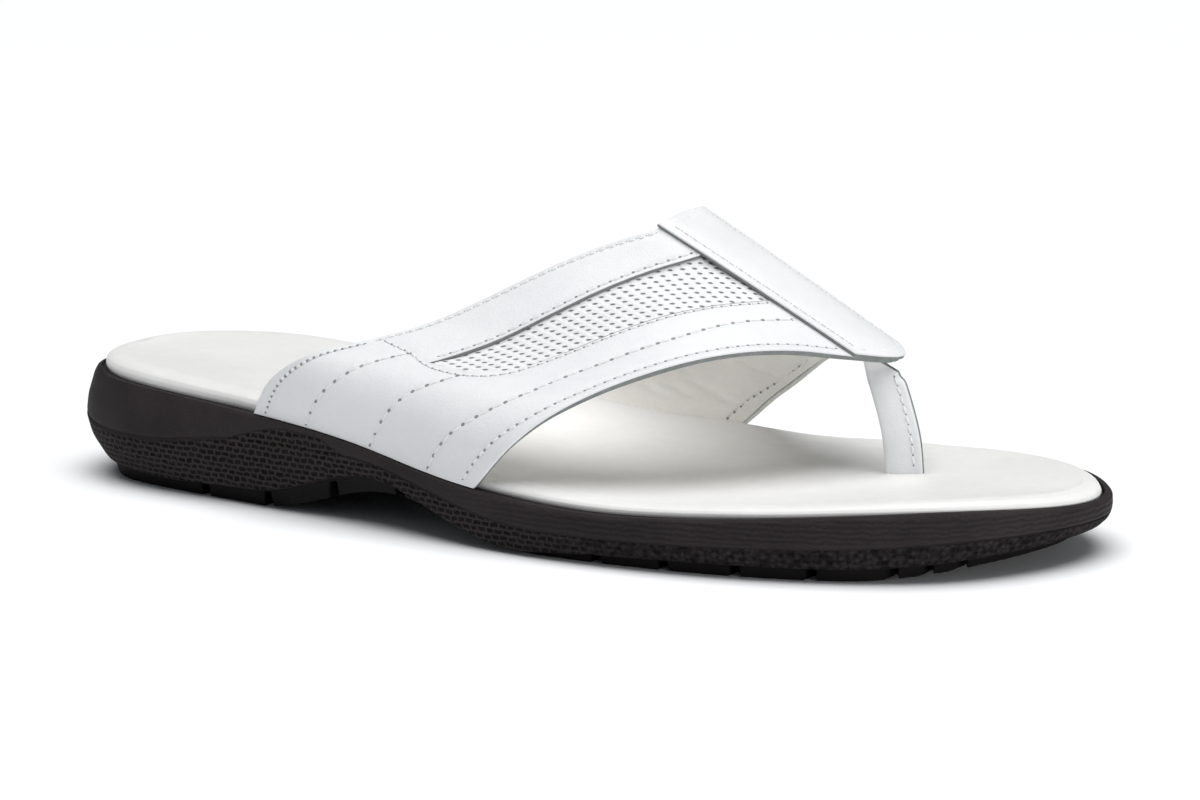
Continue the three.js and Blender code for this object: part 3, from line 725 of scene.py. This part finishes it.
# stitch rows on the outer wing by rib and share; the inner wing mirrors the ribs
sewing = {
    "wing_edge": {
        "rib": [0.12, 1, 2, 2.9], "share": [0.05, 0.045, 0.036, 0.03], "pitch": 1.9, "mark": 0.5},
    "rear_edge": {"rib": [3.1, 5.5, 7.85], "share": [0.026, 0.024, 0.024], "pitch": 2.6, "mark": 0.16},
    "wing_rear": {
        "rib": [0.1, 0.8, 1.43, 2.14, 2.71, 2.94], "share": [0.238, 0.231, 0.226, 0.216, 0.211, 0.211],
        "pitch": 4.2, "mark": 0.52},
    "wing_middle": {
        "rib": [0.1, 0.7, 1.28, 1.66, 1.94, 2.25, 2.53],
        "share": [0.53, 0.518, 0.508, 0.503, 0.508, 0.518, 0.518], "pitch": 4.2, "mark": 0.52},
    "low_line": {
        "rib": [0.1, 0.53, 1.05, 1.6, 2.1, 2.63, 3.2, 4.4, 5, 5.66, 6.5, 7.15, 7.9],
        "share": [0.789, 0.776, 0.779, 0.8, 0.813, 0.815, 0.805, 0.795, 0.792, 0.783, 0.752, 0.735, 0.725],
        "pitch": 4.06, "mark": 0.52},
    "front_edge": {
        "rib": [0.1, 0.53, 1.2, 1.9, 3, 4.2, 5.7, 6.8, 7.9],
        "share": [0.94, 0.93, 0.935, 0.95, 0.957, 0.95, 0.948, 0.947, 0.95], "pitch": 2.6, "mark": 0.4},
    "panel_seam": {
        "rib": [3.16, 3.06, 2.99, 2.9, 2.72, 2.61, 2.57, 2.56, 2.6, 2.72, 2.92, 3.2, 3.73, 4.3, 5.26,
                6.1, 6.9, 7.9],
        "share": [0.05, 0.126, 0.186, 0.241, 0.317, 0.382, 0.43, 0.477, 0.535, 0.585, 0.618, 0.632, 0.632,
                  0.628, 0.622, 0.614, 0.604, 0.594], "pitch": 2.4, "mark": 0.34},
    "band_edge": {
        "rib": [3.05, 3.5, 4, 4.6, 5.2, 5.8, 6.4, 7, 7.5, 7.9],
        "share": [0.312, 0.308, 0.299, 0.289, 0.275, 0.259, 0.243, 0.225, 0.209, 0.197],
        "pitch": 3.1, "mark": 0.38},
}
stitch = {
    "trough": 0.22, "troughWidth": 0.9, "troughStep": 0.6, "rowSteps": 240, "batch": 4000,
    "long": 0.74, "wide": 0.28, "tall": 0.22, "sunk": 0.8, "markLift": 0.03, "lift": 0.02, "frontRow": 0.9,
}


def sewnRows():
    for row in sewing.values():
        knots = np.arange(len(row["rib"]))
        at = np.linspace(0, knots[-1], stitch["rowSteps"])
        rib, share = cubicLine(knots, row["rib"], at), cubicLine(knots, row["share"], at)
        yield rib, share, row["pitch"], row["mark"]
        yield lastRib - rib, share, row["pitch"], row["mark"]


def rowPoints(rib, share, pitch):
    # rib and share at equal steps along a row
    point, normal = wingFrame(rib, share)
    run = runAlong(point)
    at = np.linspace(0, run[-1], max(2, int(round(run[-1] / pitch)) + 1))
    return np.interp(at, run, rib), np.interp(at, run, share)


troughLine = np.concatenate([wingFrame(*rowPoints(rib, share, stitch["troughStep"]))[0]
                             for rib, share, pitch, mark in sewnRows()])


def sewnDepth(points):
    # soft trough under every stitch row
    flat = points.reshape(-1, 3)
    depth = np.zeros(len(flat))
    for start in range(0, len(flat), stitch["batch"]):  # in batches, to spare memory
        some = slice(start, start + stitch["batch"])
        far = ((flat[some, None, :] - troughLine[None]) ** 2).sum(-1).min(axis=1)
        depth[some] = np.exp(-far / stitch["troughWidth"] ** 2)
    return stitch["trough"] * depth.reshape(points.shape[:-1])


edgeRound = {"radius": 0.4, "window": 0.2, "strap": 0.3, "steps": [0.006, 0.015, 0.04], "spare": 0.05}


def closeEnds(count, near):
    # steps from 0 to 1, close at both ends for a rounded edge
    near = np.array(near)
    first = near[-1] + edgeRound["spare"]
    return np.concatenate([[0], near, np.linspace(first, 1 - first, count), 1 - near[::-1], [1]])


def edgeDrop(far, radius):  # fall of a rounded edge at a distance from the cut
    t = np.clip(far / radius, 0, 1)
    return radius * (1 - np.sqrt(1 - (1 - t) ** 2))


def makeUpper():
    ends = np.array([wings["strapEnd"], wings["roundEnd"]])
    rib = np.unique(np.concatenate([np.linspace(0, lastRib, wings["ribs"]), ends.ravel()]))
    top, bottom = (edge[:, None] for edge in windowEdges(rib))
    rear = closeEnds(wings["rearRows"], edgeRound["steps"])
    middle = np.linspace(0, 1, wings["windowRows"] + 2)[1:-1]
    front = closeEnds(wings["frontRows"], edgeRound["steps"])
    share = np.concatenate([top * rear, between(top, bottom, middle), between(bottom, 1.0, front)], axis=1)
    ribs = np.broadcast_to(rib[:, None], share.shape)
    inWindow = np.zeros((len(rib) - 1, share.shape[1] - 1), bool)
    mid = (rib[1:] + rib[:-1]) / 2
    for low, high in np.sort(ends.T, axis=1):
        inWindow[(mid > low) & (mid < high), len(rear) - 1:len(rear) + len(middle)] = True
    beside = np.pad(inWindow.any(axis=1), 1)
    openRib = beside[1:] | beside[:-1]
    far = np.minimum(share, 1 - share) * ribLong
    near = np.minimum(np.abs(share - top), np.abs(share - bottom)) * ribLong
    point, normal = wingFrame(ribs, share)
    atWindow = openRib[:, None] * edgeDrop(near, edgeRound["window"])
    drop = np.maximum(edgeDrop(far, edgeRound["radius"]), atWindow) + sewnDepth(point)
    outer, inner = point - normal * drop[..., None], point - normal * wings["face"]
    finishes = [upperLeather, liningLeather, cutLeather]
    piece = makeShell("upper_wings", outer, inner, finishes, "upper", ~inWindow, sharp=50)
    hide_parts("upper")


makeUpper()
print("upper")


# lining creases: rib, share, reach and height; folds run with the ribs, creases across them
lining = {
    "outer": 1.24, "inner": 2, "ribs": 433, "rows": 70, "trim": 0.012,
    "folds": [(16.95, 0.7, 0.13, 0.5), (16.72, 0.75, 0.12, 0.45), (17.12, 0.63, 0.1, 0.4),
              (16.5, 0.66, 0.11, 0.4), (16.85, 0.85, 0.08, 0.4), (15.6, 0.8, 0.12, 0.35)],
    "creases": [(14.2, 0.93, 0.16, 0.22), (14.8, 0.88, 0.2, 0.18), (13.6, 0.8, 0.15, 0.16),
                (15.6, 0.72, 0.22, 0.2), (4, 0.8, 0.2, 0.12)],
    "wander": 0.05, "foldWave": 40, "foldWide": 0.9, "creaseWave": 2.1, "creaseWide": 1.1, "creaseLong": 7,
    "puff": 0.12, "puffSize": 16, "puffSeed": 11, "puffRib": 10,
}


def makeLining():
    # thin inner wall without windows, with soft ridges
    rib = np.linspace(0, lastRib, lining["ribs"])
    share = np.linspace(lining["trim"], 1 - lining["trim"], lining["rows"])
    ribs, shares = np.meshgrid(rib, share, indexing="ij")
    point, normal = wingFrame(ribs, shares)
    puff = softNoise(ribs * lining["puffRib"], shares * ribLong, lining["puffSize"], lining["puffSeed"])
    puff = lining["puff"] * puff
    for atRib, atShare, reach, tall in lining["creases"]:
        bend = shares - atShare - lining["wander"] * np.sin((ribs - atRib) * lining["creaseWave"])
        along = (ribs - atRib) / (reach * lining["creaseLong"])
        puff = puff + tall * np.exp(-(bend * ribLong / lining["creaseWide"]) ** 2 - along ** 2)
    for atRib, atShare, reach, tall in lining["folds"]:
        bend = ribs - atRib - lining["wander"] * np.sin((shares - atShare) * lining["foldWave"])
        along = (shares - atShare) / reach
        puff = puff + tall * np.exp(-(bend * ribWide / lining["foldWide"]) ** 2 - along ** 2)
    inner = point - normal * (lining["inner"] + puff)[..., None]
    makeShell("upper_lining", point - normal * lining["outer"], inner,
              [liningLeather, liningLeather, cutLeather], "upper")


makeLining()

panels = {
    "trim": 0.25, "topDepth": 1.12, "bottomDepth": 0.3, "belly": 0.1, "under": 1.2, "taper": 0.6,
    "strapGap": 0.01, "roundGap": 0.03, "ribs": 120, "rows": 44,
}


def makePanel(name, node, side):
    # sheet in the window, set back at the rear and nearly level along its lower edge
    turn = -1 if side == 0 else 1
    first, last = wings["strapEnd"][side], wings["roundEnd"][side]
    first, end = first + turn * panels["strapGap"], last - turn * panels["roundGap"]
    rib = np.sort(np.linspace(first, end, panels["ribs"]))
    top, bottom = windowEdges(rib)
    t = np.linspace(0, 1, panels["rows"])
    trim = panels["trim"] / ribLong
    share = between((top + trim)[:, None], (bottom - trim)[:, None], t)
    ribs = np.broadcast_to(rib[:, None], share.shape)
    point, normal = wingFrame(ribs, share)
    taper = smoothStep(np.abs(rib - last) / panels["taper"])[:, None]
    depth = between(panels["topDepth"], panels["bottomDepth"], smoothStep(t))
    depth = depth - panels["belly"] * np.sin(math.pi * t)
    depth = between(panels["bottomDepth"], depth[None], taper)
    across = np.broadcast_to(np.interp(rib, ribNumber, ribRun)[:, None], share.shape)
    flat = np.stack([across, share * ribLong], -1).reshape(-1, 2)
    outer, inner = point - normal * depth[..., None], point - normal * panels["under"]
    piece = makeShell(name, outer, inner, [panelWeave, liningLeather, cutLeather], node, flat=flat)
    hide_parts(node)


makePanel("panel_outer_sheet", "panel_outer", 0)
makePanel("panel_inner_sheet", "panel_inner", 1)
print("lining and panels")


strap = {
    "under": 0.04, "over": 1.2, "ribs": (8, 10), "rear": -0.008, "front": 1.012,
    "ribWide": 10, "ribLong": 60, "crown": 0.15, "crownFade": (3, 5), "across": 26, "along": 80,
    "acrossSteps": [0.01, 0.025, 0.055], "alongSteps": [0.004, 0.01, 0.02],
    "sewnIn": 2.3, "sewnRear": 0.028, "sewnSide": 0.955, "sewnFront": 0.968, "pitch": 2.85, "mark": 0.18,
}


def strapOffset(rib, share):
    # top of the band, with rounded edges and a trough under its stitches
    side = np.minimum(rib - strap["ribs"][0], strap["ribs"][1] - rib) * strap["ribWide"]
    ends = np.minimum(share - strap["rear"], strap["front"] - share) * strap["ribLong"]
    far = np.minimum(side, ends)
    trough = stitch["trough"] * np.exp(-((far - strap["sewnIn"]) / stitch["troughWidth"]) ** 2)
    crown = strap["crown"] * fade(far, *strap["crownFade"])
    return strap["over"] - edgeDrop(far, edgeRound["strap"]) - trough + crown


def makeStrap():
    rib = between(*strap["ribs"], closeEnds(strap["across"], strap["acrossSteps"]))
    share = between(strap["rear"], strap["front"], closeEnds(strap["along"], strap["alongSteps"]))
    ribs, shares = np.meshgrid(rib, share, indexing="ij")
    point, normal = wingFrame(ribs, shares)
    outer = point + normal * strapOffset(ribs, shares)[..., None]
    finishes = [strapLeather, cutLeather, cutLeather]
    inner = point + normal * strap["under"]
    piece = makeShell("centre_strap_band", outer, inner, finishes, "centre_strap", sharp=50)
    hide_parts("centre_strap")


makeStrap()
print("strap")


toePost = {
    "line": np.array([[90.6, 12.4, 13.6], [90.6, 12.4, 17], [89.4, 13, 25], [86, 15, 33.5],
                      [81.4, 17.4, 42.5]]),
    "width": 9.6, "thick": 3.2, "turn": 10, "corner": 0.35, "around": 56, "along": 60,
    "flange": 0.66, "flangeFade": (1, 0.9), "tipFade": (0.8, 0.2), "tipSlope": 0.55, "narrow": 0.93,
    "stitchIn": 2.2, "sewnFrom": 4.5, "sewnTo": 4, "stitches": 10, "mark": 0.26,
}
postKnots = runAlong(toePost["line"])
postTurn = math.radians(toePost["turn"])
postForward = np.array([math.cos(postTurn), math.sin(postTurn), 0.0])
postBroad = np.array([-math.sin(postTurn), math.cos(postTurn), 0.0])


def squared(wave):  # rounds a circle's wave out towards a square
    return np.sign(wave) * np.abs(wave) ** toePost["corner"]


def makePost():
    # rounded oblong with a thin front flange, carried along the post's middle line
    run = np.linspace(0, postKnots[-1], toePost["along"])
    a = np.linspace(0, 2 * math.pi, toePost["around"], endpoint=False)
    across = toePost["width"] / 2 * squared(np.cos(a))
    flange = between(1, toePost["flange"], fade(across, *toePost["flangeFade"]))
    thick = toePost["thick"] / 2 * squared(np.sin(a)) * flange
    section = across[:, None] * postForward + thick[:, None] * postBroad
    grid = curveThrough(postKnots, toePost["line"], run)[:, None] + section[None]
    grid[..., 2] -= fade(run / postKnots[-1], *toePost["tipFade"])[:, None] * across * toePost["tipSlope"]
    number = np.arange(len(run) * len(a)).reshape(len(run), len(a))
    k = np.arange(1, len(a) // 2 - 1)
    cap = np.stack([k, k + 1, len(a) - k - 1, len(a) - k], -1)
    caps = np.concatenate([number[0][cap][:, ::-1], number[-1][cap]])
    narrow = np.cos(a + math.pi / len(a)) > toePost["narrow"]  # the front edge is cut leather
    kind = np.concatenate([np.tile(narrow, len(run) - 1), np.ones(len(caps), bool)])
    quads = np.concatenate([tubeQuads(number), caps])
    finishes = [upperLeather, cutLeather]
    piece = makePiece("toe_post_strip", grid, quads, finishes, "toe_post", kind, sharp=60)
    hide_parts("toe_post")


makePost()
print("toe post")


# thread, and dark ovals of painted shade for the needle holes

def threadShape(start, end, up, wide, tall):
    # arched six-sided tubes between pairs of points, sunk at both ends
    s = np.linspace(0, 1, 7)
    a = np.linspace(0, 2 * math.pi, 6, endpoint=False)
    along = end - start
    side = unit(np.cross(up, along))
    body = np.sin(math.pi * np.clip(s, 0.04, 0.96)) ** 0.4
    arch = tall * (np.sin(math.pi * s) - 0.35)
    centre = start[:, None] + along[:, None] * s[None, :, None] + up[:, None] * arch[None, :, None]
    ring = (side[:, None, None] * (wide * body[:, None] * np.cos(a)[None])[None, ..., None]
            + up[:, None, None] * (tall * body[:, None] * np.sin(a)[None])[None, ..., None])
    points = centre[:, :, None] + ring
    number = np.arange(len(s) * len(a)).reshape(len(s), len(a))
    firstEnd = np.array([[0, 5, 4, 3], [0, 3, 2, 1]])
    lastEnd = firstEnd[::-1, [0, 3, 2, 1]] + number[-1, 0]
    quads = np.concatenate([tubeQuads(number), firstEnd, lastEnd])
    total = quads[None] + (np.arange(len(start)) * number.size)[:, None, None]
    return points.reshape(-1, 3), total.reshape(-1, 4)


def markShape(centre, up, along, size):
    # flat eight-sided ovals on the leather, painted shade for the needle holes
    a = np.linspace(0, 2 * math.pi, 8, endpoint=False)
    side = unit(np.cross(up, along))
    front = np.cross(side, up)
    points = (centre[:, None] + front[:, None] * (size * 1.15 * np.cos(a))[None, :, None]
              + side[:, None] * (size * 0.9 * np.sin(a))[None, :, None])
    quads = np.array([[0, 1, 2, 3], [0, 3, 4, 7], [4, 5, 6, 7]])
    total = quads[None] + (np.arange(len(centre)) * len(a))[:, None, None]
    return points.reshape(-1, 3), total.reshape(-1, 4)


threadParts, markParts = [], []


def sewAlong(point, up, mark):
    # a dark oval of painted needle-hole shade at every step and thread between them
    along = np.diff(point, axis=0)
    long = stitch["long"]
    start = point[:-1] + along * (0.5 - long / 2)
    middleUp = unit(up[:-1] + up[1:])
    threadParts.append(threadShape(start, start + along * long, middleUp, stitch["wide"], stitch["tall"]))
    toward = np.concatenate([along, along[-1:]])
    markParts.append(markShape(point + up * stitch["markLift"], up, toward, mark))


for rib, share, pitch, mark in sewnRows():
    rib, share = rowPoints(rib, share, pitch)
    point, normal = wingFrame(rib, share)
    sewAlong(point - normal * (stitch["trough"] * stitch["sunk"]), normal, mark)
    if np.min(share) > stitch["frontRow"]:  # the front rows show on the lining too
        sewAlong(point - normal * (lining["inner"] + stitch["lift"]), -normal, mark)

strapIn = strap["sewnIn"] / strap["ribWide"]
sewnRibs = (strap["ribs"][0] + strapIn, strap["ribs"][1] - strapIn)
sideRow = np.linspace(strap["sewnRear"], strap["sewnSide"], 80)
strapRows = [(np.full_like(sideRow, rib), sideRow) for rib in sewnRibs]
for share, steps in ((strap["sewnRear"], 40), (strap["sewnFront"], 60)):
    strapRows.append((np.linspace(*sewnRibs, steps), np.full(steps, share)))
for rib, share in strapRows:
    rib, share = rowPoints(rib, share, strap["pitch"])
    point, normal = wingFrame(rib, share)
    sewAlong(point + normal * (strapOffset(rib, share) + stitch["lift"])[:, None], normal, strap["mark"])

postRun = np.linspace(toePost["sewnFrom"], postKnots[-1] - toePost["sewnTo"], toePost["stitches"])
postRow = curveThrough(postKnots, toePost["line"], postRun)
postRow = postRow + postForward * (toePost["width"] / 2 - toePost["stitchIn"])
for face in (-1, 1):  # both broad faces of the toe post
    broad = postBroad * face
    point = postRow + broad * (toePost["thick"] / 2 * toePost["flange"] - stitch["lift"])
    sewAlong(point, np.broadcast_to(broad, point.shape), toePost["mark"])


def joinParts(parts):
    offsets = np.cumsum([0] + [len(p) for p, q in parts[:-1]])
    return np.concatenate([p for p, q in parts]), np.concatenate([q + o for (p, q), o in zip(parts, offsets)])


makePiece("stitch_thread", *joinParts(threadParts), [yarn], "upper")
# painted shade for the needle holes, as flat dark ovals
makePiece("stitch_hole_shade", *joinParts(markParts), [needleHoleShade], "upper")
print("stitching", sum(len(q) for p, q in threadParts))


# floor, light and camera
studio = {
    "floor": 14, "floorColour": (0.97, 0.97, 0.975, 1), "sky": (0.86, 0.93, 1, 1), "skyPower": 0.17,
    "key": {"power": 3.05, "spread": 60, "tilt": -2, "turn": 20},
    "toeFill": {"at": (1.28, -0.36, 0.1), "aim": (0.02, 0, 0.03), "size": 0.5, "power": 8},
}
view = {
    "azimuth": 28.98, "elevation": 9.95, "distance": 939, "aim": (2, 4.8, 30), "slide": (6.5, -2.2),
    "lens": 110.5, "sensor": 36, "clip": (0.01, 50),
}


def aimAt(thing, eye, target):  # place a lamp or camera and turn it to a point
    look = unit(target - eye)
    thing.location = eye
    thing.rotation_euler = (math.acos(-look[2]), 0, math.atan2(look[1], look[0]) - math.pi / 2)


def makeFloor():
    size = studio["floor"] / 2
    mesh = bpy.data.meshes.new("floor")
    corners = [(-size, -size, 0), (size, -size, 0), (size, size, 0), (-size, size, 0)]
    mesh.from_pydata(corners, [], [(0, 1, 2, 3)])
    material, wire = startFinish("studio_floor")
    endFinish(wire, studio["floorColour"], 0.6, {"Specular IOR Level": 0.2})
    mesh.materials.append(material)
    floor = addObject("floor", mesh)


def addLamp(name, kind, settings):
    light = bpy.data.lights.new(name, kind)
    for key, value in settings.items():
        setattr(light, key, value)
    return addObject(name, light)


def makeLamps():
    # a broad light overhead and a low round one beyond the toe
    key, fill = studio["key"], studio["toeFill"]
    lamp = addLamp("key_light", "SUN", {"energy": key["power"], "angle": math.radians(key["spread"])})
    lamp.rotation_euler = (math.radians(-key["tilt"]), 0, math.radians(key["turn"]))
    lamp = addLamp("toe_fill", "AREA", {"shape": "DISK", "size": fill["size"], "energy": fill["power"]})
    aimAt(lamp, np.array(fill["at"]), np.array(fill["aim"]))


def makeSky():
    world = bpy.data.worlds.new("studio")
    scene.world = world
    world.use_nodes = True
    sky = world.node_tree.nodes["Background"]
    sky.inputs["Color"].default_value = studio["sky"]
    sky.inputs["Strength"].default_value = studio["skyPower"]
    scene.view_settings.view_transform = "Standard"


def makeCamera():
    # the photograph's direction, closed in on the shoe
    a, e = math.radians(view["azimuth"]), math.radians(view["elevation"])
    back = np.array([math.sin(a) * math.cos(e), -math.cos(a) * math.cos(e), math.sin(e)])
    right = np.array([math.cos(a), math.sin(a), 0.0])
    up = np.cross(back, right)
    aim = np.array(view["aim"])
    target = aim + right * view["slide"][0] + up * view["slide"][1]
    camera = addObject("camera", bpy.data.cameras.new("camera"))
    aimAt(camera, (aim + back * view["distance"]) * mm, target * mm)
    camera.data.lens = view["lens"]
    camera.data.sensor_width = view["sensor"]
    camera.data.clip_start, camera.data.clip_end = view["clip"]
    scene.camera = camera


makeFloor()
makeLamps()
makeSky()
makeCamera()
print("studio ready")
